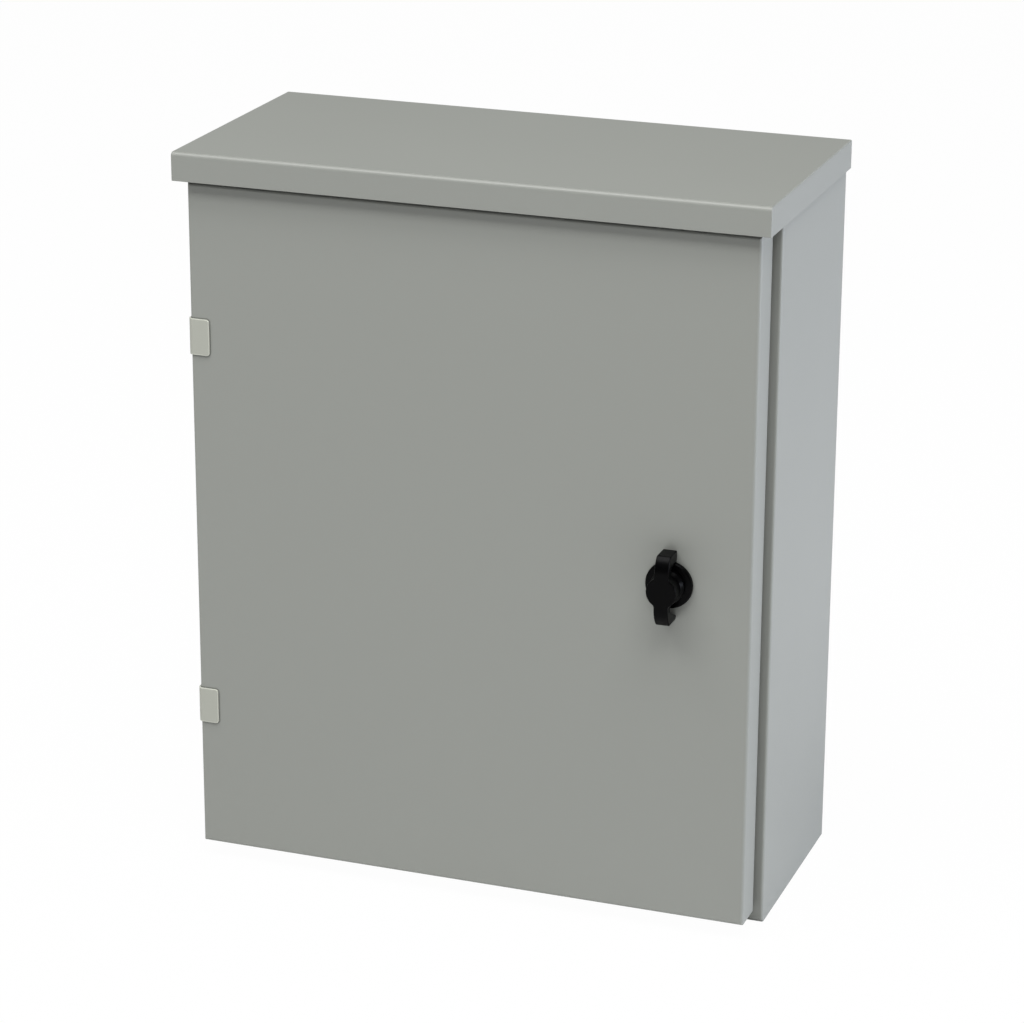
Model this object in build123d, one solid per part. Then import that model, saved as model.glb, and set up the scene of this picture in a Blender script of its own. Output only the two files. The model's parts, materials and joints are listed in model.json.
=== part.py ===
# Wall-mounted electrical enclosure with a drip hood and one hinged door.
# The body is folded sheet steel, hung by four holes in its back.
# The door is a shallow pan that stands in front of the body on two butt hinges.
# A wing knob near its free edge turns a cam behind the body's front flange.
# Frame: the origin is the centre of the wall holes, on the wall plane.
# +Z is up, the wall is the plane y = 0, and the door faces -Y.

import os
from math import cos, pi, radians, sin

from build123d import *

# Body
body_width = 406.4
body_height = 509.2
body_depth = 156.7
sheet = 1.5
bend_radius = 2.0
body_fold_radius = 4.8
body_seam_round = 1.2

# Door, measured from the body's sides, its bottom and the hood's lip
door_side_reveal = 5.1
door_lift = 11.7
door_top_gap = 2.1
door_depth = 25.0
door_standoff = 6.2
door_bend = 2.4
door_corner = 0.6

# Drip hood
hood_side_gap = 1.35
hood_lip = 19.6
hood_overhang = 7.1
hood_seat = 0.3
hood_bend = 2.8
hood_corner = 1.0

# Collar round the door opening, and the door's gasket
collar_inset = 8.3
collar_side_inset = 27.0
collar_corner = 12.0
corner_fill = 0.8
gasket_width = 10.0
gasket_thickness = 5.0
gasket_clearance = 0.3

# Hinges
hinge_top_distance = 105.9
hinge_bottom_distance = 104.3
hinge_setback = 13.0
hinge_height = 25.2
leaf_thickness = 1.2
leaf_reach = 14.0
leaf_corner = 2.2
leaf_side_clearance = 0.2
body_leaf_foot = 18.0
barrel_radius = 2.5
barrel_inset = 3.9
knuckle_height = 5.8
knuckle_gap = 0.2
hinge_pin_radius = 1.3
hinge_running_clearance = 0.05
hinge_pin_fit = 0.02
pin_head_radius = 2.4
pin_head_height = 0.8
pin_tail = 0.5

# Latch
latch_edge_distance = 55.65
knob_projection = 20.7
hub_radius = 10.4
hub_foot_radius = 11.6
hub_foot_height = 2.6
hub_stem_overlap = 0.7
hub_stem_inset = 0.3
wing_width = 9.7
wing_half_length = 24.1
wing_end_setback = 5.6
wing_bar = 6.4
wing_bow_start = 12.0
wing_hook_root = 14.6
wing_tip_gap = 1.0
wing_hook_upper = 7.4
wing_hook_lower = 3.2
wing_root_fillet = 2.8
wing_edge = 0.8
wing_end_edge = 1.6
wing_tip_edge = 1.2
housing_flange_radius = 16.1
housing_flange_height = 3.4
housing_dome = 0.6
housing_mark_distance = 12.8
housing_mark_length = 4.5
housing_mark_width = 1.2
housing_mark_height = 0.7
housing_mark_angle = 45.0
housing_body_radius = 11.0
housing_body_length = 18.0
housing_hole_clearance = 0.3
latch_seal_radius = 15.0
latch_seal_thickness = 1.0
latch_nut_flats = 27.0
latch_nut_height = 5.0
shaft_radius = 4.0
shaft_running_clearance = 0.05
shaft_bore_depth = 10.0
shaft_square = 5.6
knob_gap = 0.3
cam_thickness = 3.0
cam_reach = 36.0
cam_hub_radius = 10.0
cam_tip_radius = 7.0
cam_gap = 0.3
cam_screw_radius = 2.0
cam_screw_head_radius = 4.5
cam_screw_head_height = 3.2
cam_screw_depth = 9.0
cam_screw_head_round = 1.3
screw_slot_width = 1.0
screw_slot_depth = 1.3
cam_washer_radius = 6.0
cam_washer_thickness = 1.2

# Wall holes, measured from the body's outline
wall_hole_inset_x = 25.4
wall_hole_inset_z = 26.0
wall_hole_radius = 5.5

# Equipment plate, measured from the body's outline, and its studs
plate_inset_x = 38.1
plate_inset_z = 38.7
plate_thickness = 2.0
plate_stud_inset = 12.7
plate_hole_clearance = 0.6
stud_radius = 4.0
stud_collar_radius = 8.0
stud_collar_height = 13.0
stud_length = 30.0
stud_nut_flats = 13.0
stud_nut_height = 6.5
stud_nut_clearance = 0.05

# Ground studs, one in the body and one on the door
ground_stud_radius = 3.0
ground_stud_length = 15.0
ground_stud_chamfer = 0.6
ground_nut_flats = 10.0
ground_nut_height = 5.0
ground_washer_radius = 6.5
ground_washer_thickness = 1.2
body_ground_inset = 60.0
door_ground_inset = 20.0

# Nuts, and the margin that a cutting shape stands past a face
nut_chamfer_share = 0.12
nut_chamfer_slope = 1.7
cut_margin = 1.0

# Planes that the pieces share
body_front = -body_depth
flange_inside = body_front + sheet
door_back = body_front - door_standoff
door_front = door_back - door_depth
door_inside = door_front + sheet
body_top = body_height / 2
body_bottom = -body_height / 2
hood_width = body_width + 2 * (hood_side_gap + sheet)
hood_top = body_top + hood_seat + sheet
hood_bottom = hood_top - hood_lip
hood_front = door_front - hood_overhang
door_width = body_width - 2 * door_side_reveal
door_bottom = body_bottom + door_lift
door_top = hood_bottom - door_top_gap
door_middle = (door_bottom + door_top) / 2
back_inside = -sheet

# Hinge axis, beside the door's left flange, and the planes of the leaves
hinge_x = -door_width / 2 - leaf_side_clearance - barrel_radius
hinge_y = door_front + hinge_setback
leaf_inner_x = hinge_x + barrel_radius
leaf_outer_x = leaf_inner_x - leaf_thickness
barrel_half = hinge_height / 2 - barrel_inset
hinge_heights = {
    "upper": door_top - hinge_top_distance,
    "lower": door_bottom + hinge_bottom_distance,
}

# Collar size, inside the door's flanges
collar_half_width = door_width / 2 - sheet - collar_side_inset
collar_top = door_top - sheet - collar_inset
collar_bottom = door_bottom + sheet + collar_inset
collar_middle = (collar_top + collar_bottom) / 2
collar_front = door_inside + gasket_thickness + gasket_clearance

# Latch axis, and the planes of the pieces along it
latch_x = door_width / 2 - latch_edge_distance
latch_z = door_middle
seal_front = door_front - latch_seal_thickness
housing_front = seal_front - housing_flange_height
housing_back = seal_front + housing_body_length
knob_front = door_front - knob_projection
knob_back = housing_front - knob_gap
cam_front = flange_inside + cam_gap
cam_back = cam_front + cam_thickness
washer_back = cam_back + cam_washer_thickness

# Wall holes and equipment plate
wall_hole_x = body_width / 2 - wall_hole_inset_x
wall_hole_z = body_height / 2 - wall_hole_inset_z
plate_half_width = body_width / 2 - plate_inset_x
plate_half_height = body_height / 2 - plate_inset_z
plate_stud_x = plate_half_width - plate_stud_inset
plate_stud_z = plate_half_height - plate_stud_inset
plate_back = back_inside - stud_collar_height
plate_front = plate_back - plate_thickness


def plan_at(height):
    """Sketch plane seen from above, with its x along X and its y along Y."""
    return Plane((0, 0, height), x_dir=(1, 0, 0), z_dir=(0, 0, 1))


def front_at(depth):
    """Sketch plane seen from behind the wall, its normal along +Y."""
    return Plane((0, depth, 0), x_dir=(-1, 0, 0), z_dir=(0, 1, 0))


def side_at(across):
    """Sketch plane seen from the right, with its x along Y and its y along Z."""
    return Plane((across, 0, 0), x_dir=(0, 1, 0), z_dir=(1, 0, 0))


def block(x_low, x_high, y_low, y_high, z_low, z_high):
    """Rectangular block between two corners."""
    size = Box(x_high - x_low, y_high - y_low, z_high - z_low)
    return Pos((x_low + x_high) / 2, (y_low + y_high) / 2, (z_low + z_high) / 2) * size


def rod(x, z, y_start, y_end, radius):
    """Round rod along Y, from y_start towards the wall."""
    return Pos(x, (y_start + y_end) / 2, z) * Rot(90, 0, 0) * Cylinder(radius, y_end - y_start)


def upright(x, y, z_low, z_high, radius):
    """Round rod along Z."""
    return Pos(x, y, (z_low + z_high) / 2) * Cylinder(radius, z_high - z_low)


def hexagon_nut(x, z, y_start, height, flats, bore):
    """Hexagon nut along Y with chamfered corners and a plain bore."""
    corner_radius = flats / 2 / cos(pi / 6)
    prism = extrude(front_at(y_start) * Pos(-x, z) * RegularPolygon(corner_radius, 6), amount=height)
    drop = nut_chamfer_share * height
    dome = rod(x, z, y_start, y_start + height, corner_radius)
    dome = chamfer(dome.edges().filter_by(GeomType.CIRCLE), drop, nut_chamfer_slope * drop)
    return (prism & dome) - rod(
        x, z, y_start - cut_margin, y_start + height + cut_margin, bore)


def rounded_bar(width, height, corner, y_start, y_end, z_middle):
    """Rounded rectangle seen from the front, carried along Y."""
    outline = front_at(y_start) * Pos(0, z_middle) * RectangleRounded(width, height, corner)
    return extrude(outline, amount=y_end - y_start)


def body_plan(width, depth, corner, y_middle):
    """Rounded rectangle of the body seen from above."""
    return Pos(0, y_middle) * RectangleRounded(width, depth, corner)


def collar_space():
    """Space that the collar fills, through the front flanges."""
    return rounded_bar(
        2 * collar_half_width, collar_top - collar_bottom, collar_corner,
        collar_front, flange_inside, collar_middle)


def make_body_wrapper():
    """Back, both sides and both upright front flanges, folded from one sheet."""
    middle = -body_depth / 2
    outer = body_plan(body_width, body_depth, bend_radius, middle)
    inner = body_plan(body_width - 2 * sheet, body_depth - 2 * sheet, bend_radius - sheet, middle)
    mouth = Pos(0, body_front) * Rectangle(2 * collar_half_width, 2 * sheet + bend_radius)
    wrapper = extrude(plan_at(body_bottom) * (outer - inner - mouth), amount=body_height)
    envelope = block(
        -body_width / 2, body_width / 2, body_front, 0, body_bottom, body_top)
    fold_edges = envelope.faces().sort_by(Axis.Y)[0].edges().filter_by(Axis.X)
    envelope = fillet(fold_edges, body_fold_radius)
    seam_edges = envelope.edges().filter_by(Axis.Y)
    wrapper = wrapper & fillet(seam_edges, body_seam_round)
    for x in (-wall_hole_x, wall_hole_x):
        for z in (-wall_hole_z, wall_hole_z):
            wrapper -= rod(x, z, 2 * back_inside, sheet, wall_hole_radius)
    return wrapper


def make_end_panel(outer_face, flange_edge):
    """Top or bottom sheet inside the wrapper, its front flange folded over the opening."""
    inward = 1 if flange_edge > outer_face else -1
    inner_width = body_width - 2 * sheet
    plan = body_plan(inner_width, body_depth - 2 * sheet, bend_radius - sheet, -body_depth / 2)
    inside = extrude(plan_at(body_bottom) * plan, amount=body_height)
    path = FilletPolyline(
        (0, outer_face + inward * sheet / 2),
        (body_front + sheet / 2, outer_face + inward * sheet / 2),
        (body_front + sheet / 2, flange_edge + inward * corner_fill * collar_corner),
        radius=body_fold_radius - sheet / 2)
    section = trace(path, line_width=sheet)
    panel = extrude(side_at(-inner_width / 2) * section, amount=inner_width) & inside
    front = extrude(side_at(-collar_half_width) * section, amount=2 * collar_half_width)
    front -= block(
        -body_width, body_width, back_inside, sheet, 2 * body_bottom, 2 * body_top)
    return panel + front - collar_space()


def make_collar():
    """Band welded round the door opening, its front edge pressing on the gasket."""
    bore = rounded_bar(
        2 * (collar_half_width - sheet), collar_top - collar_bottom - 2 * sheet,
        collar_corner - sheet, collar_front, flange_inside, collar_middle)
    return collar_space() - bore


def make_hood():
    """Flat drip hood with a lip down its front and both sides, open at the wall."""
    half = hood_width / 2
    outer = block(-half, half, hood_front, 0, hood_bottom, hood_top)
    outer = fillet(outer.edges().filter_by(Axis.X).group_by(Axis.Z)[-1].sort_by(Axis.Y)[0], hood_bend)
    rims = outer.faces().filter_by(Axis.X).edges()
    rims = rims.filter_by_position(Axis.Z, hood_bottom + cut_margin, hood_top + cut_margin)
    rims = rims.filter_by_position(Axis.Y, hood_front - cut_margin, -cut_margin)
    outer = fillet(rims, hood_corner)
    inner = block(
        sheet - half, half - sheet, hood_front + sheet, cut_margin,
        hood_bottom - cut_margin, hood_top - sheet)
    inner_edge = inner.edges().filter_by(Axis.X).group_by(Axis.Z)[-1].sort_by(Axis.Y)[0]
    inner = fillet(inner_edge, hood_bend - sheet)
    return outer - inner


def make_door():
    """Door pan: a front sheet with four flanges folded back, welded at the corners."""
    half = door_width / 2
    outer = block(-half, half, door_front, door_back, door_bottom, door_top)
    outer = fillet(outer.faces().sort_by(Axis.Y)[0].edges(), door_bend)
    outer = fillet(outer.edges().filter_by(Axis.Y), door_corner)
    inner = block(
        sheet - half, half - sheet, door_inside, door_back + door_bend,
        door_bottom + sheet, door_top - sheet)
    inner = fillet(inner.faces().sort_by(Axis.Y)[0].edges(), door_bend - sheet)
    return outer - inner - rod(
        latch_x, latch_z, door_front - sheet, door_inside + sheet,
        housing_body_radius + housing_hole_clearance)


def make_gasket():
    """Soft gasket on the door's inside, under the collar's front edge."""
    grow = gasket_width / 2 - sheet / 2
    outer = rounded_bar(
        2 * (collar_half_width + grow), collar_top - collar_bottom + 2 * grow,
        collar_corner + grow, door_inside, door_inside + gasket_thickness, collar_middle)
    shrink = grow - gasket_width
    inner = rounded_bar(
        2 * (collar_half_width + shrink), collar_top - collar_bottom + 2 * shrink,
        collar_corner + shrink, door_inside, door_inside + gasket_thickness, collar_middle)
    return outer - inner


def knuckle(z_low, z_high, bore):
    """Rolled knuckle round the hinge axis."""
    barrel = upright(hinge_x, hinge_y, z_low, z_high, barrel_radius)
    return barrel - upright(hinge_x, hinge_y, z_low - cut_margin, z_high + cut_margin, bore)


def barrel_slot(height, half_height):
    """Space round the barrel, cut from a leaf between two heights."""
    reach = barrel_radius + knuckle_gap
    return block(
        hinge_x - reach, hinge_x + reach, hinge_y - reach, hinge_y + reach,
        height - half_height, height + half_height)


def make_door_leaf(height):
    """Leaf on the door's front, bent back beside its flange into two knuckles."""
    low = height - hinge_height / 2
    high = height + hinge_height / 2
    middle_line = (leaf_inner_x + leaf_outer_x) / 2
    path = FilletPolyline(
        (leaf_reach - door_width / 2, door_front - leaf_thickness / 2),
        (middle_line, door_front - leaf_thickness / 2),
        (middle_line, hinge_y),
        radius=door_bend + leaf_thickness / 2)
    leaf = extrude(plan_at(low) * trace(path, line_width=leaf_thickness), amount=high - low)
    front_corners = leaf.edges().filter_by(Axis.Y).group_by(Axis.X)[-1]
    leaf = fillet(front_corners, leaf_corner)
    cut_half = knuckle_height / 2 + knuckle_gap
    leaf -= barrel_slot(height, cut_half)
    leaf -= barrel_slot(high, barrel_inset)
    leaf -= barrel_slot(low, barrel_inset)
    bore = hinge_pin_radius + hinge_running_clearance
    leaf -= upright(hinge_x, hinge_y, low, high, bore)
    lower = knuckle(height - barrel_half, height - cut_half, bore)
    upper = knuckle(height + cut_half, height + barrel_half, bore)
    return leaf + lower + upper


def make_body_leaf(height):
    """Leaf behind the barrel, its foot on the body's front, with one knuckle."""
    low = height - hinge_height / 2
    high = height + hinge_height / 2
    middle_line = (leaf_inner_x + leaf_outer_x) / 2
    path = FilletPolyline(
        (middle_line, hinge_y + barrel_radius + knuckle_gap),
        (middle_line, body_front - leaf_thickness / 2),
        (leaf_outer_x + body_leaf_foot, body_front - leaf_thickness / 2),
        radius=leaf_thickness)
    leaf = extrude(plan_at(low) * trace(path, line_width=leaf_thickness), amount=high - low)
    foot_corners = leaf.edges().filter_by(Axis.Y).group_by(Axis.X)[-1]
    leaf = fillet(foot_corners, leaf_corner)
    tongue_half = knuckle_height / 2
    tongue = block(
        leaf_outer_x, leaf_inner_x, hinge_y, hinge_y + barrel_radius + 2 * knuckle_gap,
        height - tongue_half, height + tongue_half)
    bore = hinge_pin_radius + hinge_pin_fit
    tongue -= upright(hinge_x, hinge_y, low, high, bore)
    return leaf + tongue + knuckle(height - tongue_half, height + tongue_half, bore)


def make_hinge_pin(height):
    """Headed pin down through the three knuckles."""
    low = height - barrel_half - pin_tail
    top = height + barrel_half + knuckle_gap
    shank = upright(hinge_x, hinge_y, low, top, hinge_pin_radius)
    shank = chamfer(shank.edges().sort_by(Axis.Z)[0], pin_tail / 2)
    head = upright(hinge_x, hinge_y, top, top + pin_head_height, pin_head_radius)
    head = fillet(head.edges().filter_by(GeomType.CIRCLE).sort_by(Axis.Z)[-1], pin_head_height / 2)
    return shank + head


def turned(points):
    """Solid turned about the latch axis from radius and depth points."""
    outline = Plane.XY * Polyline(*points, close=True)
    return Pos(latch_x, 0, latch_z) * revolve(make_face(outline), Axis.Y)


def make_latch_housing():
    """Housing flange with a raised mark, its threaded body through the door."""
    bore = shaft_radius + shaft_running_clearance
    profile = [
        (bore, housing_front),
        (housing_flange_radius - 2 * housing_dome, housing_front),
        (housing_flange_radius, housing_front + housing_dome),
        (housing_flange_radius, seal_front),
        (housing_body_radius, seal_front),
        (housing_body_radius, housing_back),
        (bore, housing_back),
    ]
    mark = Pos(housing_mark_distance, 0, 0) * Box(
        housing_mark_width, 2 * housing_mark_height, housing_mark_length)
    mark = Pos(latch_x, housing_front, latch_z) * Rot(0, -housing_mark_angle, 0) * mark
    return turned(profile) + mark


def make_latch_seal():
    """Flat seal between the housing flange and the door."""
    ring = rod(latch_x, latch_z, seal_front, door_front, latch_seal_radius)
    return ring - rod(
        latch_x, latch_z, seal_front - cut_margin, door_front + cut_margin, housing_body_radius)


def make_latch_nut():
    """Large thin nut that clamps the housing to the door from inside."""
    return hexagon_nut(
        latch_x, latch_z, door_inside, latch_nut_height, latch_nut_flats, housing_body_radius)


def make_wing():
    """Grip across the hub: a bar that bows back to the door and ends in two hooks."""
    end_front = knob_front + wing_end_setback
    bar_back = knob_front + wing_bar
    tip = door_front - wing_tip_gap
    top = wing_half_length
    bottom = -wing_half_length
    start = wing_bow_start
    root = wing_hook_root
    outline = [
        Line((knob_front, -start), (knob_front, start)),
        TangentArc((knob_front, start), (end_front, top), tangent=(0, 1)),
        Line((end_front, top), (tip, top)),
        Line((tip, top), (tip, top - wing_hook_upper)),
        Line((tip, top - wing_hook_upper), (bar_back + wing_bar, top - wing_hook_upper)),
        Line((bar_back + wing_bar, top - wing_hook_upper), (bar_back, root)),
        Line((bar_back, root), (bar_back, -root)),
        Line((bar_back, -root), (tip, bottom + wing_hook_lower)),
        Line((tip, bottom + wing_hook_lower), (tip, bottom)),
        Line((tip, bottom), (end_front, bottom)),
        TangentArc((knob_front, -start), (end_front, bottom), tangent=(0, -1)),
    ]
    face = make_face(outline)
    ends = face.vertices().filter_by_position(Axis.X, end_front - wing_edge, end_front + wing_edge)
    face = fillet(ends, wing_end_edge)
    face = fillet(face.vertices().group_by(Axis.X)[-1], wing_tip_edge)
    side = extrude(
        side_at(latch_x - hub_foot_radius) * Pos(0, latch_z) * face, amount=2 * hub_foot_radius)
    plan = Rectangle(wing_width, 4 * top) + Circle(hub_radius)
    plan = fillet(plan.vertices().filter_by_position(Axis.Y, -hub_radius, hub_radius), wing_root_fillet)
    front = front_at(knob_front - cut_margin) * Pos(-latch_x, latch_z) * plan
    wing = side & extrude(front, amount=knob_projection)
    return wing


def round_rim(wing):
    """Round the front rim of the grip and its hub, leaving the square ends as they are."""
    rim = []
    end_front = knob_front + wing_end_setback
    for edge in wing.edges().filter_by_position(Axis.Y, knob_front - cut_margin, end_front):
        beside = abs(edge.center().X - latch_x) > wing_width / 2 - wing_edge
        along_depth = edge.geom_type == GeomType.LINE and abs(edge.tangent_at(0).Y) > wing_edge
        if beside and not along_depth:
            rim.append(edge)
    return fillet(rim, wing_edge)


def make_wing_knob():
    """Moulded knob: the wing grip on a slimmer stem with a wider foot, bored for the shaft."""
    stem_radius = hub_radius - hub_stem_inset
    stem = turned([
        (0, knob_front + wing_bar - hub_stem_overlap),
        (stem_radius, knob_front + wing_bar - hub_stem_overlap),
        (stem_radius, knob_back - 2 * hub_foot_height),
        (hub_foot_radius, knob_back - hub_foot_height),
        (hub_foot_radius, knob_back),
        (0, knob_back),
    ])
    guard = rod(
        latch_x, latch_z, knob_back, door_front + cut_margin, housing_flange_radius + 2 * knob_gap)
    knob = (round_rim(make_wing()) - guard) + stem
    return knob - rod(
        latch_x, latch_z, knob_back - shaft_bore_depth, knob_back + cut_margin, shaft_radius)


def make_latch_shaft():
    """Round shaft from the knob to the cam, squared where it carries the cam."""
    shaft = rod(latch_x, latch_z, knob_back - shaft_bore_depth, cam_front, shaft_radius)
    square = block(
        latch_x - shaft_square / 2, latch_x + shaft_square / 2, cam_front, cam_back,
        latch_z - shaft_square / 2, latch_z + shaft_square / 2)
    screw_hole = rod(latch_x, latch_z, cam_back - cam_screw_depth, cam_back, cam_screw_radius)
    return shaft + square - screw_hole


def make_latch_cam():
    """Flat cam with a wide hub and a round tip, pointing behind the right flange."""
    tip_x = cam_reach - cam_tip_radius
    hub = Circle(cam_hub_radius)
    tip = Pos(-tip_x, 0) * Circle(cam_tip_radius)
    outline = make_hull((hub.edges() + tip.edges()))
    outline -= Rectangle(shaft_square, shaft_square)
    return extrude(front_at(cam_front) * Pos(-latch_x, latch_z) * outline, amount=cam_thickness)


def make_cam_washer():
    """Washer between the cam and its screw."""
    ring = rod(latch_x, latch_z, cam_back, washer_back, cam_washer_radius)
    return ring - rod(
        latch_x, latch_z, cam_back - cut_margin, washer_back + cut_margin, cam_screw_radius)


def make_cam_screw():
    """Pan-head screw that holds the cam on the shaft."""
    shank = rod(latch_x, latch_z, cam_back - cam_screw_depth, washer_back, cam_screw_radius)
    head_end = washer_back + cam_screw_head_height
    head = rod(latch_x, latch_z, washer_back, head_end, cam_screw_head_radius)
    head = fillet(head.edges().sort_by(Axis.Y)[-1], cam_screw_head_round)
    slot = block(
        latch_x - cam_screw_head_radius, latch_x + cam_screw_head_radius,
        head_end - screw_slot_depth, head_end + cut_margin,
        latch_z - screw_slot_width / 2, latch_z + screw_slot_width / 2)
    return shank + head - slot


def stud_places():
    """Name and place of each equipment plate stud."""
    places = {}
    for row, z in (("upper", plate_stud_z), ("lower", -plate_stud_z)):
        for side, x in (("left", -plate_stud_x), ("right", plate_stud_x)):
            places[row + "_" + side] = (x, z)
    return places


def make_equipment_plate():
    """Flat plate for the equipment, holed for its four studs."""
    plate = block(
        -plate_half_width, plate_half_width, plate_front, plate_back,
        -plate_half_height, plate_half_height)
    for x, z in stud_places().values():
        plate -= rod(
            x, z, plate_front - cut_margin, plate_back + cut_margin,
            stud_radius + plate_hole_clearance)
    return plate


def make_plate_stud(x, z):
    """Collar stud welded to the body's back, its collar carrying the plate."""
    collar = rod(x, z, plate_back, back_inside, stud_collar_radius)
    return collar + rod(x, z, back_inside - stud_length, plate_back, stud_radius)


def make_plate_nut(x, z):
    """Nut that holds the plate against the stud's collar."""
    return hexagon_nut(
        x, z, plate_front - stud_nut_height, stud_nut_height, stud_nut_flats,
        stud_radius + stud_nut_clearance)


def make_ground_stud(x, z, root, outward):
    """Threaded ground stud, standing away from the sheet that it is welded to."""
    tip = root + outward * ground_stud_length
    stud = rod(x, z, min(root, tip), max(root, tip), ground_stud_radius)
    tip_edge = stud.edges().filter_by(GeomType.CIRCLE).sort_by(Axis.Y)[0 if outward < 0 else -1]
    return chamfer(tip_edge, ground_stud_chamfer)


def make_ground_washer(x, z, root, outward):
    """Washer on a ground stud, against its sheet."""
    far = root + outward * ground_washer_thickness
    low = min(root, far)
    high = max(root, far)
    ring = rod(x, z, low, high, ground_washer_radius)
    return ring - rod(x, z, low - cut_margin, high + cut_margin, ground_stud_radius)


def make_ground_nut(x, z, root, outward):
    """Nut on a ground stud, against its washer."""
    seat = root + outward * ground_washer_thickness
    start = min(seat, seat + outward * ground_nut_height)
    return hexagon_nut(x, z, start, ground_nut_height, ground_nut_flats, ground_stud_radius)


def all_parts():
    """Every piece of the enclosure by its name."""
    parts = {
        "body_wrapper": make_body_wrapper(),
        "body_top": make_end_panel(body_top, collar_top),
        "body_bottom": make_end_panel(body_bottom, collar_bottom),
        "door_collar": make_collar(),
        "drip_hood": make_hood(),
        "door_pan": make_door(),
        "door_gasket": make_gasket(),
        "latch_housing": make_latch_housing(),
        "latch_seal": make_latch_seal(),
        "latch_nut": make_latch_nut(),
        "wing_knob": make_wing_knob(),
        "latch_shaft": make_latch_shaft(),
        "latch_cam": make_latch_cam(),
        "cam_washer": make_cam_washer(),
        "cam_screw": make_cam_screw(),
        "equipment_plate": make_equipment_plate(),
    }
    for place, height in hinge_heights.items():
        parts["hinge_door_leaf_" + place] = make_door_leaf(height)
        parts["hinge_body_leaf_" + place] = make_body_leaf(height)
        parts["hinge_pin_" + place] = make_hinge_pin(height)
    for place, (x, z) in stud_places().items():
        parts["plate_stud_" + place] = make_plate_stud(x, z)
        parts["plate_nut_" + place] = make_plate_nut(x, z)
    grounds = {
        "body": (plate_stud_x - body_ground_inset,
                 (body_bottom - plate_half_height) / 2, back_inside, -1),
        "door": (sheet + gasket_width - collar_half_width + door_ground_inset,
                 collar_bottom + door_ground_inset, door_inside, 1),
    }
    for place, spot in grounds.items():
        parts["ground_stud_" + place] = make_ground_stud(*spot)
        parts["ground_washer_" + place] = make_ground_washer(*spot)
        parts["ground_nut_" + place] = make_ground_nut(*spot)
    return parts


os.makedirs("parts", exist_ok=True)
for part_name, solid in all_parts().items():
    export_step(solid, os.path.join("parts", part_name + ".step"))
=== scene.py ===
import json
from math import cos, radians, sin

import bmesh
import bpy
import numpy as np
from mathutils import Matrix, Vector


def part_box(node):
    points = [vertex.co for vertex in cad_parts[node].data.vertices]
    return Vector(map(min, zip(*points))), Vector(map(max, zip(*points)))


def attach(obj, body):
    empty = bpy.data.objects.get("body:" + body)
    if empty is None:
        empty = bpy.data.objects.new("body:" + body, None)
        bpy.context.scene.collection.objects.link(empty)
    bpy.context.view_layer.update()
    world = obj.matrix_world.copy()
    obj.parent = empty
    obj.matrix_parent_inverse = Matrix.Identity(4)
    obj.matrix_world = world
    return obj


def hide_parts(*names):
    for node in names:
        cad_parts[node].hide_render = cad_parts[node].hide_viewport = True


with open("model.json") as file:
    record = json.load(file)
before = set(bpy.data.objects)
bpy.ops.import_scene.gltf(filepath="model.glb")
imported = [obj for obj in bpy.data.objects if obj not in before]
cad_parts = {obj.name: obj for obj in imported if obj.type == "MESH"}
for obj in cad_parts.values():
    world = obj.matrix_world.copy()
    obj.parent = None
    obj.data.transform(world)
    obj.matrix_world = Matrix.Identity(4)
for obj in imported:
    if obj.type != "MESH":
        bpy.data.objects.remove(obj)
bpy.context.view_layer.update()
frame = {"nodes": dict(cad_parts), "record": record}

nodes = frame["nodes"]

# Camera, fitted to the photograph's straight edges, with its angles in degrees
camera_target = Vector((0.002716, -0.1060, 0.001471))
camera_distance = 2.4166
camera_yaw = 19.806
camera_pitch = 19.381
camera_roll = 0.274
camera_lens = 123.63
camera_sensor = 36.0

# Paint and part colours, as linear light
shell_grey = (0.300, 0.310, 0.286)
# The leaves' grey is lighter than the shell's: painted light, standing for the more light that
# falls on the leaves
lit_leaf_grey = (0.430, 0.440, 0.387)
plate_white = (0.72, 0.73, 0.73)
zinc_grey = (0.62, 0.63, 0.65)
oxide_black = (0.012, 0.012, 0.013)
nylon_black = (0.0009, 0.0009, 0.0010)
foam_black = (0.018, 0.018, 0.019)

# Powder coat of the sheet parts and of the hinge leaves
coat_gloss = 0.41
leaf_gloss = 0.36
coat_mottle = 0.012
leaf_mottle = 0.02
peel_scale = 800.0
peel_depth = 0.000008

# Zinc plate: waves per metre along X, Y and Z of the lines left by turning, and of the clouds
turning_lines = (120.0, 9000.0, 120.0)
passivation_scale = 160.0
turning_depth = 0.000004

# Depth of the foam's cells
foam_cell_depth = 0.00025

# Sheet edges are rounded this much by forming and paint
painted_edge = 0.00030
leaf_edge = 0.00050
machined_edge = 0.00018

# Gasket, from the CAD: middle line of the foam, its section and the collar's print in it
gasket_half_width = 0.16885
gasket_half_height = 0.22825
gasket_middle = -0.0041
gasket_corner = 0.01125
gasket_root = -0.1864
gasket_wide = 0.010
gasket_high = 0.005

# Hinge leaves on the door's front, from the CAD
leaf_middle = -0.1918
leaf_half_width = 0.0077
leaf_half_height = 0.0126
leaf_corner = 0.0022
leaf_heights = (0.1288, -0.1386)
door_front = -0.1879

# Painted shade: the door's paint is darker round each leaf, where shade falls. Painted highlight:
# each leaf's paint is paler along its own rim
front_layer = 0.0012
painted_shade_reach = 0.0012
painted_shade_round_leaf = 0.62
rim_inset = 0.0008
rim_reach = 0.0005
rim_painted_highlight = 0.32
leaf_margin = 0.0004
margin_reach = 0.0001

# Threads: pitch and depth
stud_pitch = 0.00125
stud_thread = 0.00062
ground_pitch = 0.0010
ground_thread = 0.00050
housing_pitch = 0.0015
housing_thread = 0.00065

# Studio: the camera sees the floor white by this share, and the rest is its real shading
floor_white = 0.98
floor_half = 6.0
surround_strength = 0.15


def group_socket(group, name, way, kind="NodeSocketFloat", value=None):
    """A named input or output of a node group."""
    socket = group.interface.new_socket(name=name, in_out=way, socket_type=kind)
    if value is not None:
        socket.default_value = value
    return socket


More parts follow.
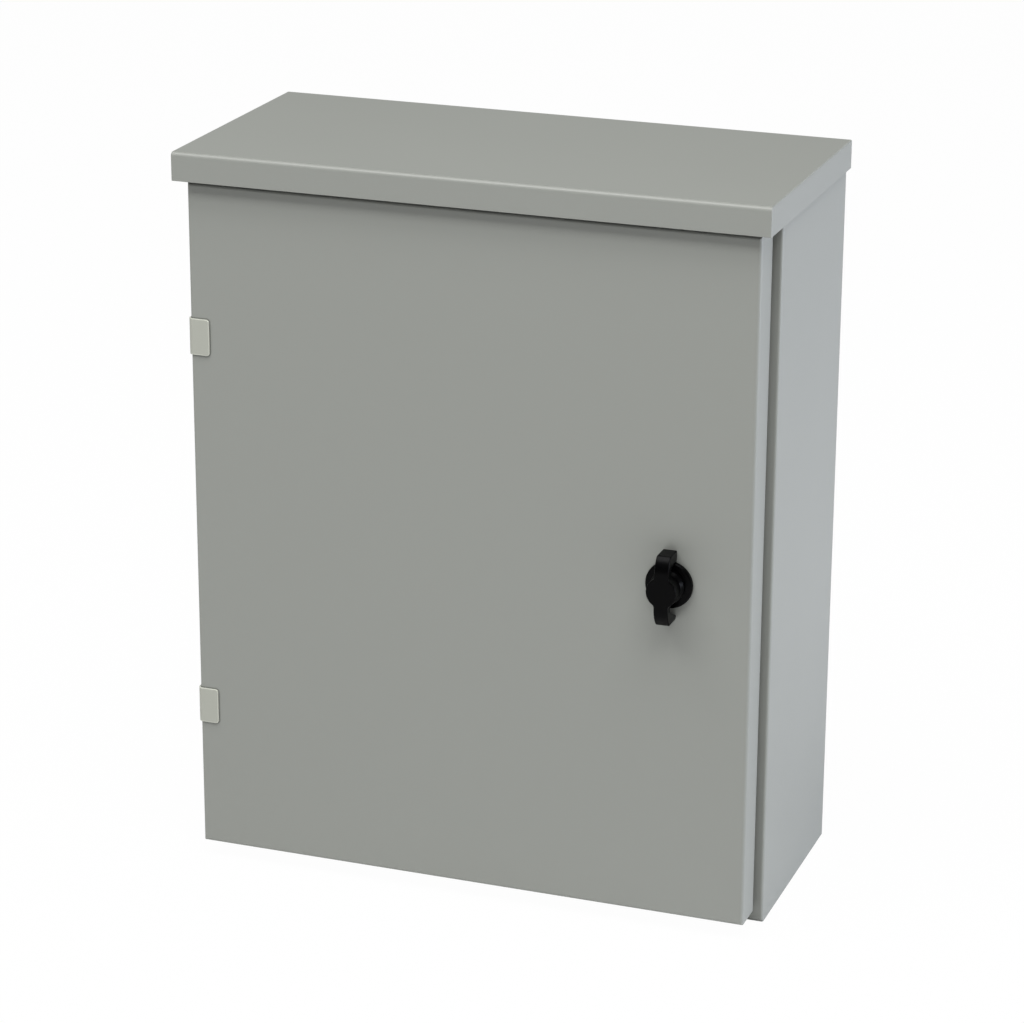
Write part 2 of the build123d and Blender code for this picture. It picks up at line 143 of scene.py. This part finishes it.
def new_group(name):
    """An empty shader node group with its input and output nodes."""
    group = bpy.data.node_groups.new(name, "ShaderNodeTree")
    return group, group.nodes.new("NodeGroupInput"), group.nodes.new("NodeGroupOutput")


def noise(tree, place, scale, detail, roughness=0.5):
    """A noise texture read at a place, which is a node's output."""
    texture = tree.nodes.new("ShaderNodeTexNoise")
    tree.links.new(place, texture.inputs["Vector"])
    texture.inputs["Scale"].default_value = scale
    texture.inputs["Detail"].default_value = detail
    texture.inputs["Roughness"].default_value = roughness
    return texture


def worked(tree, operation, *values):
    """Output of a math node, each of whose inputs is a number or another node's output."""
    node = tree.nodes.new("ShaderNodeMath")
    node.operation = operation
    for socket, value in zip(node.inputs, values):
        if isinstance(value, bpy.types.NodeSocket):
            tree.links.new(value, socket)
        else:
            socket.default_value = value
    return node.outputs[0]


def scaled_colour(tree, colour, factor):
    """Output of a node that multiplies a colour by a factor."""
    tint = tree.nodes.new("ShaderNodeVectorMath")
    tint.operation = "SCALE"
    tree.links.new(colour, tint.inputs[0])
    tree.links.new(factor, tint.inputs["Scale"])
    return tint.outputs[0]


def vary_finish(group, source, sink, cloud, amount):
    """Varies a group's colour and roughness with a noise.

    With the noise less a half, the colour is the one put in, times one plus the noise times the
    amount. The roughness is the gloss base plus the noise times the gloss spread.
    """
    about_zero = worked(group, "SUBTRACT", cloud.outputs["Fac"], 0.5)
    shade = worked(group, "MULTIPLY_ADD", about_zero, source.outputs[amount], 1.0)
    spread, base = source.outputs["Gloss Spread"], source.outputs["Gloss Base"]
    gloss = worked(group, "MULTIPLY_ADD", about_zero, spread, base)
    tinted = scaled_colour(group, source.outputs["Colour"], shade)
    group.links.new(tinted, sink.inputs["Colour"])
    group.links.new(gloss, sink.inputs["Roughness"])


def make_coat_group():
    """Powder coat: a soft mottle in the colour, a varying gloss and an orange-peel height.

    The mottle is a broad noise. The height is a fine noise with cells of about the peel's size.
    """
    group, source, sink = new_group("coat_finish")
    group_socket(group, "Colour", "INPUT", "NodeSocketColor", (0.35, 0.35, 0.34, 1))
    group_socket(group, "Mottle", "INPUT", value=0.03)
    group_socket(group, "Gloss Base", "INPUT", value=0.42)
    group_socket(group, "Gloss Spread", "INPUT", value=0.08)
    group_socket(group, "Peel Scale", "INPUT", value=600.0)
    group_socket(group, "Colour", "OUTPUT", "NodeSocketColor")
    group_socket(group, "Roughness", "OUTPUT")
    group_socket(group, "Height", "OUTPUT")
    place = group.nodes.new("ShaderNodeTexCoord").outputs["Object"]
    vary_finish(group, source, sink, noise(group, place, 9.0, 3.0), "Mottle")
    peel = noise(group, place, 600.0, 1.5, 0.45)
    group.links.new(source.outputs["Peel Scale"], peel.inputs["Scale"])
    group.links.new(peel.outputs["Fac"], sink.inputs["Height"])
    return group


def make_light_mask_group():
    """Mask round a plate on the door's front, which places painted shade and painted highlight.

    The distance is that from a rounded rectangle in the XZ plane: the length of what stands past
    its straight sides, less the corner. The mask is one inside and at the plate's edge, falls to
    zero over the reach, and stays on the front face.
    """
    group, source, sink = new_group("plate_light_mask")
    group_socket(group, "Middle X", "INPUT")
    group_socket(group, "Middle Z", "INPUT")
    group_socket(group, "Half Width", "INPUT", value=leaf_half_width)
    group_socket(group, "Half Height", "INPUT", value=leaf_half_height)
    group_socket(group, "Corner", "INPUT", value=leaf_corner)
    group_socket(group, "Reach", "INPUT", value=painted_shade_reach)
    group_socket(group, "Front", "INPUT", value=door_front)
    group_socket(group, "Mask", "OUTPUT")
    given = source.outputs
    place = group.nodes.new("ShaderNodeTexCoord").outputs["Object"]
    parts = group.nodes.new("ShaderNodeSeparateXYZ")
    group.links.new(place, parts.inputs[0])
    squares = []
    for axis, middle, half in (("X", "Middle X", "Half Width"), ("Z", "Middle Z", "Half Height")):
        offset = worked(group, "SUBTRACT", parts.outputs[axis], given[middle])
        straight = worked(group, "SUBTRACT", given[half], given["Corner"])
        past = worked(group, "SUBTRACT", worked(group, "ABSOLUTE", offset), straight)
        squares.append(worked(group, "POWER", worked(group, "MAXIMUM", past, 0.0), 2.0))
    length = worked(group, "SQRT", worked(group, "ADD", *squares))
    distance = worked(group, "SUBTRACT", length, given["Corner"])
    left = worked(group, "SUBTRACT", 1.0, worked(group, "DIVIDE", distance, given["Reach"]))
    near = worked(group, "MINIMUM", worked(group, "MAXIMUM", left, 0.0), 1.0)
    depth = worked(group, "SUBTRACT", parts.outputs["Y"], given["Front"])
    mask = worked(group, "MULTIPLY", near, worked(group, "LESS_THAN", depth, front_layer))
    group.links.new(mask, sink.inputs["Mask"])
    return group


def make_plating_group():
    """Bright zinc: faint turning lines across the axis of a small part, and cloudy passivation.

    The lines are a noise stretched along the two other directions, so they run round the part.
    """
    group, source, sink = new_group("plating_finish")
    group_socket(group, "Colour", "INPUT", "NodeSocketColor", (0.6, 0.6, 0.62, 1))
    group_socket(group, "Cloud", "INPUT", value=0.15)
    group_socket(group, "Gloss Base", "INPUT", value=0.3)
    group_socket(group, "Gloss Spread", "INPUT", value=0.25)
    group_socket(group, "Colour", "OUTPUT", "NodeSocketColor")
    group_socket(group, "Roughness", "OUTPUT")
    group_socket(group, "Height", "OUTPUT")
    place = group.nodes.new("ShaderNodeTexCoord").outputs["Object"]
    cloud = noise(group, place, passivation_scale, 3.0, 0.6)
    vary_finish(group, source, sink, cloud, "Cloud")
    stretch = group.nodes.new("ShaderNodeMapping")
    stretch.inputs["Scale"].default_value = turning_lines
    group.links.new(place, stretch.inputs["Vector"])
    lines = noise(group, stretch.outputs["Vector"], 1.0, 1.0)
    group.links.new(lines.outputs["Fac"], sink.inputs["Height"])
    return group


def make_cell_group():
    """Closed-cell foam: small round cells, each a pit with painted shade in its middle and a
    paler rim.

    The colour is the one put in, times 0.7 plus the distance from the cell's middle times the
    rim lift. The height is that distance.
    """
    group, source, sink = new_group("foam_cells")
    group_socket(group, "Colour", "INPUT", "NodeSocketColor", (0.02, 0.02, 0.02, 1))
    group_socket(group, "Cell Scale", "INPUT", value=900.0)
    group_socket(group, "Rim Lift", "INPUT", value=0.8)
    group_socket(group, "Colour", "OUTPUT", "NodeSocketColor")
    group_socket(group, "Height", "OUTPUT")
    place = group.nodes.new("ShaderNodeTexCoord").outputs["Object"]
    cells = group.nodes.new("ShaderNodeTexVoronoi")
    group.links.new(place, cells.inputs["Vector"])
    group.links.new(source.outputs["Cell Scale"], cells.inputs["Scale"])
    out = cells.outputs["Distance"]
    # Painted shade: each cell is darker towards its middle, the bottom of its pit
    lift = worked(group, "MULTIPLY_ADD", out, source.outputs["Rim Lift"], 0.7)
    tinted = scaled_colour(group, source.outputs["Colour"], lift)
    group.links.new(tinted, sink.inputs["Colour"])
    group.links.new(out, sink.inputs["Height"])
    return group


def new_material(name, shine):
    """A material with one Principled shader of that specular level."""
    material = bpy.data.materials.new(name)
    material.use_nodes = True
    shader = material.node_tree.nodes["Principled BSDF"]
    shader.inputs["Specular IOR Level"].default_value = shine
    return material, material.node_tree, shader


def bumped(tree, shader, height, depth):
    """Joins a height to the shader's normal through a bump of that depth in metres."""
    bump = tree.nodes.new("ShaderNodeBump")
    bump.inputs["Strength"].default_value = 1.0
    bump.inputs["Distance"].default_value = depth
    tree.links.new(height, bump.inputs["Height"])
    tree.links.new(bump.outputs["Normal"], shader.inputs["Normal"])


def coat_material(name, colour, gloss, mottle, scale, depth, shine=0.5):
    """Powder coat, or another dull finish, of one colour, with a peel of that scale and depth."""
    material, tree, shader = new_material(name, shine)
    coat = tree.nodes.new("ShaderNodeGroup")
    coat.node_tree = coat_group
    coat.inputs["Colour"].default_value = (*colour, 1)
    coat.inputs["Mottle"].default_value = mottle
    coat.inputs["Gloss Base"].default_value = gloss
    coat.inputs["Peel Scale"].default_value = scale
    tree.links.new(coat.outputs["Colour"], shader.inputs["Base Color"])
    tree.links.new(coat.outputs["Roughness"], shader.inputs["Roughness"])
    bumped(tree, shader, coat.outputs["Height"], depth)
    return material


def zinc_material():
    """Zinc-plated steel of the studs, nuts, washers and latch."""
    material, tree, shader = new_material("zinc_plate", 0.5)
    shader.inputs["Metallic"].default_value = 1.0
    plating = tree.nodes.new("ShaderNodeGroup")
    plating.node_tree = plating_group
    plating.inputs["Colour"].default_value = (*zinc_grey, 1)
    tree.links.new(plating.outputs["Colour"], shader.inputs["Base Color"])
    tree.links.new(plating.outputs["Roughness"], shader.inputs["Roughness"])
    bumped(tree, shader, plating.outputs["Height"], turning_depth)
    return material


def foam_material():
    """Black closed-cell foam of the gasket and the latch seal."""
    material, tree, shader = new_material("foam_rubber", 0.25)
    shader.inputs["Roughness"].default_value = 0.9
    cells = tree.nodes.new("ShaderNodeGroup")
    cells.node_tree = cell_group
    cells.inputs["Colour"].default_value = (*foam_black, 1)
    tree.links.new(cells.outputs["Colour"], shader.inputs["Base Color"])
    bumped(tree, shader, cells.outputs["Height"], foam_cell_depth)
    return material


def leaf_masks(tree, inset, reach):
    """Sum of the painted-light masks of both hinge leaves, on a rectangle that much inside the
    leaf.
    """
    masks = []
    for height in leaf_heights:
        leaf_light_mask = tree.nodes.new("ShaderNodeGroup")
        leaf_light_mask.node_tree = light_mask_group
        leaf_light_mask.inputs["Middle X"].default_value = leaf_middle
        leaf_light_mask.inputs["Middle Z"].default_value = height
        leaf_light_mask.inputs["Half Width"].default_value = leaf_half_width - inset
        leaf_light_mask.inputs["Half Height"].default_value = leaf_half_height - inset
        leaf_light_mask.inputs["Corner"].default_value = leaf_corner - inset
        leaf_light_mask.inputs["Reach"].default_value = reach
        masks.append(leaf_light_mask.outputs["Mask"])
    return worked(tree, "ADD", *masks)


def shade_paint(material, change):
    """Multiplies a coat's colour by one plus the change, which is a node's output."""
    tree = material.node_tree
    base = tree.nodes["Principled BSDF"].inputs["Base Color"]
    painted = base.links[0].from_socket
    factor = worked(tree, "ADD", change, 1.0)
    tree.links.new(scaled_colour(tree, painted, factor), base)


def door_material():
    """Powder coat of the door, with painted shade round both hinge leaves, where shade falls."""
    material = coat_material(
        "door_paint", shell_grey, coat_gloss, coat_mottle, peel_scale, peel_depth)
    tree = material.node_tree
    painted_shade_mask = leaf_masks(tree, 0.0, painted_shade_reach)
    shade_paint(material, worked(tree, "MULTIPLY", painted_shade_mask, -painted_shade_round_leaf))
    return material


def leaf_material():
    """Powder coat of the hinge leaves, in a lighter grey, with a painted highlight along each
    front's rim.
    """
    material = coat_material(
        "leaf_paint", lit_leaf_grey, leaf_gloss, leaf_mottle, peel_scale, peel_depth)
    tree = material.node_tree
    rim = worked(tree, "SUBTRACT", 1.0, leaf_masks(tree, rim_inset, rim_reach))
    leaf_front = leaf_masks(tree, -leaf_margin, margin_reach)
    on_leaf = worked(tree, "MULTIPLY", rim, leaf_front)
    # Painted highlight: the band along each leaf's rim is made paler
    shade_paint(material, worked(tree, "MULTIPLY", on_leaf, rim_painted_highlight))
    return material


coat_group = make_coat_group()
# Mask group that places the painted shade round the hinge leaves and the painted highlight on
# them
light_mask_group = make_light_mask_group()
plating_group = make_plating_group()
cell_group = make_cell_group()
shell_paint = coat_material(
    "shell_paint", shell_grey, coat_gloss, coat_mottle, peel_scale, peel_depth)
door_paint = door_material()
leaf_paint = leaf_material()
plate_enamel = coat_material(
    "plate_enamel", plate_white, gloss=0.3, mottle=0.01, scale=500.0, depth=0.00001)
oxide = coat_material(
    "black_oxide", oxide_black, gloss=0.5, mottle=0.1, scale=1500.0, depth=0.000003, shine=0.2)
nylon = coat_material(
    "black_nylon", nylon_black, gloss=0.3, mottle=0.1, scale=1800.0, depth=0.000006, shine=0.06)
zinc = zinc_material()
foam = foam_material()

by_slot = {
    "shell_paint": shell_paint,
    "door_paint": door_paint,
    "hinge_paint": leaf_paint,
    "plate_paint": plate_enamel,
    "zinc_steel": zinc,
    "dark_steel": oxide,
    "knob_plastic": nylon,
    "housing_plastic": nylon,
    "gasket_foam": foam,
}
slot_of = {entry["node"]: entry["material_slot"] for entry in frame["record"]["subparts"]}
body_of_node = {}
for body, members in frame["record"]["behaviour"]["bodies"].items():
    for member in members:
        body_of_node[member] = body
for node_name, slot_name in slot_of.items():
    piece = nodes[node_name]
    piece.data.materials.clear()
    piece.data.materials.append(by_slot[slot_name])


def stand_in(mesh, name, node_name):
    """Links a finished mesh as a piece that stands for a CAD node, with its body and finish."""
    piece = bpy.data.objects.new(name, mesh)
    bpy.context.scene.collection.objects.link(piece)
    mesh.materials.clear()
    mesh.materials.append(by_slot[slot_of[node_name]])
    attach(piece, body_of_node[node_name])
    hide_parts(node_name)
    return piece


def eased(node_name, width):
    """A merged copy of a sheet part, its sharp edges rounded by that width."""
    mesh = nodes[node_name].data.copy()
    mesh.name = node_name + "_eased"
    shape = bmesh.new()
    shape.from_mesh(mesh)
    bmesh.ops.remove_doubles(shape, verts=shape.verts, dist=0.000001)
    bmesh.ops.dissolve_limit(
        shape, angle_limit=radians(0.05), verts=shape.verts, edges=shape.edges)
    shape.to_mesh(mesh)
    shape.free()
    mesh.polygons.foreach_set("use_smooth", np.ones(len(mesh.polygons), bool))
    piece = stand_in(mesh, node_name + "_eased", node_name)
    edge = piece.modifiers.new("edge", "BEVEL")
    edge.width = width
    edge.segments = 3
    edge.limit_method = "ANGLE"
    edge.angle_limit = radians(35)
    edge.use_clamp_overlap = True
    shading = piece.modifiers.new("shading", "WEIGHTED_NORMAL")
    shading.weight = 100
    shading.keep_sharp = True
    return piece


def surface_mesh(name, points, wrap_rows):
    """Quads over a grid of points, whose rows are closed rings.

    The last row joins the first where it wraps, and otherwise both end rings are poles.
    """
    rows, columns = points.shape[:2]
    index = np.arange(rows * columns).reshape(rows, columns)
    here = index if wrap_rows else index[:-1]
    down = np.roll(index, -1, axis=0) if wrap_rows else index[1:]
    right, down_right = np.roll(here, -1, axis=1), np.roll(down, -1, axis=1)
    faces = np.stack([here, right, down_right, down], axis=-1).reshape(-1, 4)
    mesh = bpy.data.meshes.new(name)
    mesh.from_pydata(points.reshape(-1, 3), [], faces.tolist())
    shape = bmesh.new()
    shape.from_mesh(mesh)
    bmesh.ops.remove_doubles(shape, verts=shape.verts, dist=0.0000005)
    bmesh.ops.recalc_face_normals(shape, faces=shape.faces)
    shape.to_mesh(mesh)
    shape.free()
    mesh.polygons.foreach_set("use_smooth", np.ones(len(mesh.polygons), bool))
    mesh.set_sharp_from_angle(angle=radians(32))
    return mesh


def turned_points(centre_x, centre_z, depths, radii, teeth, pitch, around):
    """Points of a threaded surface turned round an axis along Y.

    At turn t, in whole turns, and station i the radius is radii[i] less teeth[i] times a tooth.
    The tooth is a half plus half the cosine of 2 pi times the depth over the pitch less t, so
    the thread climbs one pitch a turn.
    """
    turn = np.arange(around) / around
    travel = depths[:, None] / pitch - turn[None, :]
    tooth = 0.5 + 0.5 * np.cos(2 * np.pi * travel)
    radius = radii[:, None] - teeth[:, None] * tooth
    angle = 2 * np.pi * turn[None, :]
    x = centre_x + radius * np.cos(angle)
    z = centre_z + radius * np.sin(angle)
    y = np.repeat(depths[:, None], around, axis=1)
    return np.stack([x, y, z], axis=-1)


def threaded_stations(corners, start, end, thread, steps):
    """Depths, radii and thread depths along a turned outline.

    The outline runs through the corners. Its straight run between the depths start and end gets
    steps stations, whose thread depth rises over the first and last twelfth of the run.
    """
    slack = 0.0000001
    depths, radii, teeth = [], [], []
    for (depth, radius), (next_depth, next_radius) in zip(corners[:-1], corners[1:]):
        inside = min(depth, next_depth) >= min(start, end) - slack
        inside = inside and max(depth, next_depth) <= max(start, end) + slack
        count = steps if inside and radius == next_radius else 1
        share = np.arange(count) / count
        depths.append(depth + share * (next_depth - depth))
        radii.append(radius + share * (next_radius - radius))
        rise = np.clip(np.minimum(share, 1 - share) * 12, 0, 1) if count > 1 else np.zeros(1)
        teeth.append(thread * rise)
    depths.append(np.array([corners[-1][0]]))
    radii.append(np.array([corners[-1][1]]))
    teeth.append(np.zeros(1))
    return np.concatenate(depths), np.concatenate(radii), np.concatenate(teeth)


def make_stud(node_name, corners, start, end, pitch, thread, steps, around):
    """Threaded stud in place of a plain one, on the axis of its CAD node."""
    low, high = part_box(node_name)
    centre_x, centre_z = (low.x + high.x) / 2, (low.z + high.z) / 2
    depths, radii, teeth = threaded_stations(corners, start, end, thread, steps)
    points = turned_points(centre_x, centre_z, depths, radii, teeth, pitch, around)
    mesh = surface_mesh(node_name + "_threaded", points, wrap_rows=False)
    stand_in(mesh, node_name + "_threaded", node_name)


def make_plate_studs():
    """Collar studs for the equipment plate, threaded from the collar to the tip."""
    collar, collar_length, collar_edge = 0.0080, 0.013, 0.0004
    shank, tip_radius, tip_edge = 0.00398, 0.0033, 0.0007
    for place in ("upper_left", "upper_right", "lower_left", "lower_right"):
        name = "plate_stud_" + place
        low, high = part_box(name)
        tip, root = low.y, high.y
        seat = root - collar_length
        corners = [
            (root, 0.0), (root, collar), (seat + collar_edge, collar),
            (seat, collar - collar_edge), (seat, shank), (tip + tip_edge, shank),
            (tip, tip_radius), (tip, 0.0)]
        make_stud(name, corners, seat, tip, stud_pitch, stud_thread, steps=112, around=40)


def make_ground_studs():
    """Ground studs in the body and on the door, threaded over their whole length."""
    shank, tip_radius, tip_edge = 0.00298, 0.0024, 0.0006
    for place in ("body", "door"):
        name = "ground_stud_" + place
        low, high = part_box(name)
        root, tip = (high.y, low.y) if place == "body" else (low.y, high.y)
        inward = tip_edge if tip > root else -tip_edge
        corners = [
            (root, 0.0), (root, shank), (tip - inward, shank), (tip, tip_radius), (tip, 0.0)]
        make_stud(
            name, corners, root, tip, ground_pitch, ground_thread, steps=120, around=36)


def make_gasket():
    """Foam strip round the door's inside.

    The section is a low crowned strip: its height is the gasket's, times one minus the eighth
    power of the distance from its middle, less a bell-shaped valley where the collar's edge has
    pressed. It is carried round a rounded rectangle, whose corners are quarter circles.
    """
    print_depth, print_share = 0.0004, 0.16
    across = np.linspace(-1, 1, 25)
    height = gasket_high * (1 - np.abs(across) ** 8)
    height = height - print_depth * np.exp(-(across / print_share) ** 2)
    height = np.concatenate([height, [0.0]])
    offset = np.concatenate([across, [0.0]]) * gasket_wide / 2
    corner = np.linspace(0, np.pi / 2, 13)
    centres = (
        (gasket_half_width - gasket_corner, gasket_half_height - gasket_corner, 0),
        (gasket_corner - gasket_half_width, gasket_half_height - gasket_corner, 1),
        (gasket_corner - gasket_half_width, gasket_corner - gasket_half_height, 2),
        (gasket_half_width - gasket_corner, gasket_corner - gasket_half_height, 3))
    lines = []
    for centre_x, centre_z, quarter in centres:
        angle = corner + quarter * np.pi / 2
        out = np.stack([np.cos(angle), np.sin(angle)], axis=-1)
        middle = np.array([centre_x, centre_z + gasket_middle]) + gasket_corner * out
        lines.append((middle, out))
    middle = np.concatenate([line[0] for line in lines])
    out = np.concatenate([line[1] for line in lines])
    flat = middle[:, None, :] + out[:, None, :] * offset[None, :, None]
    depth = np.repeat(gasket_root + height[None, :], len(middle), axis=0)
    points = np.stack([flat[..., 0], depth, flat[..., 1]], axis=-1)
    mesh = surface_mesh("gasket_strip", points, wrap_rows=True)
    stand_in(mesh, "gasket_strip", "door_gasket")


def make_housing_mark(centre_x, centre_z, front):
    """Raised mark on the flange, showing which way the knob is turned.

    It is a rounded bar: a sphere whose sines and cosines are taken to the power 0.4 with their
    signs kept, stretched to the bar's half sizes and turned 45 degrees round the latch axis.
    """
    half_width, half_length, half_depth, reach = 0.0006, 0.00225, 0.0007, 0.0128
    around = np.linspace(0, 2 * np.pi, 33)[:-1]
    rise = np.linspace(-np.pi / 2, np.pi / 2, 17)

    def eased_wave(value):
        return np.sign(value) * np.abs(value) ** 0.4

    ring = eased_wave(np.cos(rise))[:, None]
    outward = half_width * ring * eased_wave(np.cos(around))[None, :]
    along = half_length * ring * eased_wave(np.sin(around))[None, :]
    depth = np.repeat(front + half_depth * eased_wave(np.sin(rise))[:, None], len(around), axis=1)
    radius = reach + outward
    half_root = np.sqrt(0.5)
    x = centre_x + half_root * (radius - along)
    z = centre_z + half_root * (radius + along)
    mesh = surface_mesh("housing_mark", np.stack([x, depth, z], axis=-1), wrap_rows=False)
    piece = bpy.data.objects.new("housing_mark", mesh)
    bpy.context.scene.collection.objects.link(piece)
    mesh.materials.append(nylon)
    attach(piece, "door")


def make_latch_housing():
    """Housing turned as one surface, its barrel threaded, with the raised mark on its flange."""
    seal_low, seal_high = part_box("latch_seal")
    centre_x, centre_z = (seal_low.x + seal_high.x) / 2, (seal_low.z + seal_high.z) / 2
    flange_thick, back_edge = 0.0034, 0.0008
    bore, flange, barrel = 0.00405, 0.0161, 0.01098
    seat, back = seal_low.y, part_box("latch_housing")[1].y
    front = seat - flange_thick
    # Rounded rim of the flange: how far behind its front, and how far inside its radius
    rim = ((0.0, 0.0014), (0.0001, 0.0009), (0.0003, 0.0004), (0.0007, 0.0001), (0.0011, 0.0))
    corners = [(front, bore)]
    corners += [(front + behind, flange - inside) for behind, inside in rim]
    corners += [
        (seat, flange), (seat, barrel), (back - back_edge, barrel),
        (back, barrel + 0.00002 - back_edge), (back, bore)]
    depths, radii, teeth = threaded_stations(corners, seat, back, housing_thread, steps=110)
    points = turned_points(centre_x, centre_z, depths, radii, teeth, housing_pitch, around=96)
    mesh = surface_mesh("housing_turned", points, wrap_rows=True)
    stand_in(mesh, "housing_turned", "latch_housing")
    make_housing_mark(centre_x, centre_z, front)


make_plate_studs()
make_ground_studs()
make_gasket()
make_latch_housing()
for node_name in (
        "drip_hood", "door_pan", "body_wrapper", "body_top", "body_bottom", "door_collar",
        "equipment_plate"):
    eased(node_name, painted_edge)
for place in ("upper", "lower"):
    eased("hinge_door_leaf_" + place, leaf_edge)
    eased("hinge_body_leaf_" + place, leaf_edge)
for node_name in (
        "latch_cam", "cam_washer", "ground_washer_body", "ground_washer_door", "latch_nut"):
    eased(node_name, machined_edge)


def camera_axes():
    """Right, up and back axes of the camera from its yaw, pitch and roll."""
    yaw, pitch, roll = (radians(a) for a in (camera_yaw, camera_pitch, camera_roll))
    back = Vector((sin(yaw) * cos(pitch), -cos(yaw) * cos(pitch), sin(pitch)))
    level_right = Vector((cos(yaw), sin(yaw), 0))
    level_up = back.cross(level_right)
    right = level_right * cos(roll) + level_up * sin(roll)
    up = level_up * cos(roll) - level_right * sin(roll)
    return right, up, back


def make_camera():
    """Camera at the photograph's viewpoint."""
    right, up, back = camera_axes()
    data = bpy.data.cameras.new("camera")
    data.sensor_fit = "HORIZONTAL"
    data.sensor_width = camera_sensor
    data.lens = camera_lens
    data.clip_start = 0.05
    data.clip_end = 50.0
    camera = bpy.data.objects.new("camera", data)
    turn = Matrix((right, up, back)).transposed().to_4x4()
    camera.matrix_world = Matrix.Translation(camera_target + back * camera_distance) @ turn
    bpy.context.scene.collection.objects.link(camera)
    bpy.context.scene.camera = camera


def area_light(name, place, aim, width, height, power, colour=(1, 1, 1)):
    """Rectangular soft light at a place, facing a point."""
    data = bpy.data.lights.new(name, "AREA")
    data.shape = "RECTANGLE"
    data.size = width
    data.size_y = height
    data.energy = power
    data.color = colour
    light = bpy.data.objects.new(name, data)
    light.location = place
    facing = Vector(aim) - Vector(place)
    light.rotation_euler = facing.to_track_quat("-Z", "Y").to_euler()
    bpy.context.scene.collection.objects.link(light)


def make_floor():
    """Plain pale floor under the enclosure, nearly white to the camera, with a faint shadow."""
    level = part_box("body_wrapper")[0].z
    mesh = bpy.data.meshes.new("floor")
    corners = [(-1, -1), (1, -1), (1, 1), (-1, 1)]
    mesh.from_pydata(
        [(x * floor_half, y * floor_half, level) for x, y in corners], [], [(0, 1, 2, 3)])
    floor = bpy.data.objects.new("floor", mesh)
    bpy.context.scene.collection.objects.link(floor)
    material, tree, shader = new_material("pale_floor", 0.5)
    shader.inputs["Base Color"].default_value = (0.8, 0.8, 0.8, 1)
    shader.inputs["Roughness"].default_value = 0.9
    glow = tree.nodes.new("ShaderNodeEmission")
    glow.inputs["Color"].default_value = (1, 1, 1, 1)
    glow.inputs["Strength"].default_value = 1.0
    rays = tree.nodes.new("ShaderNodeLightPath")
    share = worked(tree, "MULTIPLY", rays.outputs["Is Camera Ray"], floor_white)
    mix = tree.nodes.new("ShaderNodeMixShader")
    output = tree.nodes["Material Output"]
    tree.links.new(share, mix.inputs["Fac"])
    tree.links.new(shader.outputs[0], mix.inputs[1])
    tree.links.new(glow.outputs[0], mix.inputs[2])
    tree.links.new(mix.outputs[0], output.inputs["Surface"])
    mesh.materials.append(material)


def make_world():
    """Even studio surround, pure white where the camera sees it."""
    world = bpy.data.worlds.new("studio")
    bpy.context.scene.world = world
    world.use_nodes = True
    tree = world.node_tree
    surround = tree.nodes["Background"]
    surround.inputs["Color"].default_value = (1, 1, 1, 1)
    surround.inputs["Strength"].default_value = surround_strength
    seen = tree.nodes.new("ShaderNodeBackground")
    seen.inputs["Color"].default_value = (1, 1, 1, 1)
    seen.inputs["Strength"].default_value = 1.0
    rays = tree.nodes.new("ShaderNodeLightPath")
    mix = tree.nodes.new("ShaderNodeMixShader")
    output = tree.nodes["World Output"]
    tree.links.new(rays.outputs["Is Camera Ray"], mix.inputs["Fac"])
    tree.links.new(surround.outputs[0], mix.inputs[1])
    tree.links.new(seen.outputs[0], mix.inputs[2])
    tree.links.new(mix.outputs[0], output.inputs["Surface"])


def make_lights():
    """Two wide banks over the front, and a cooler panel at the right behind the front's plane."""
    aim = (0, -0.1, 0)
    area_light("front_bank", (0, -1.9, 2.9), aim, width=4.4, height=0.9, power=86)
    area_light("top_bank", (0, -1.0, 3.4), aim, width=4.0, height=0.9, power=77)
    area_light(
        "right_panel", (3.2, 0.9, 0.28), aim, width=1.8, height=0.95, power=75,
        colour=(0.822, 0.869, 1.0))


make_camera()
make_floor()
make_world()
make_lights()
bpy.context.scene.view_settings.view_transform = "Standard"
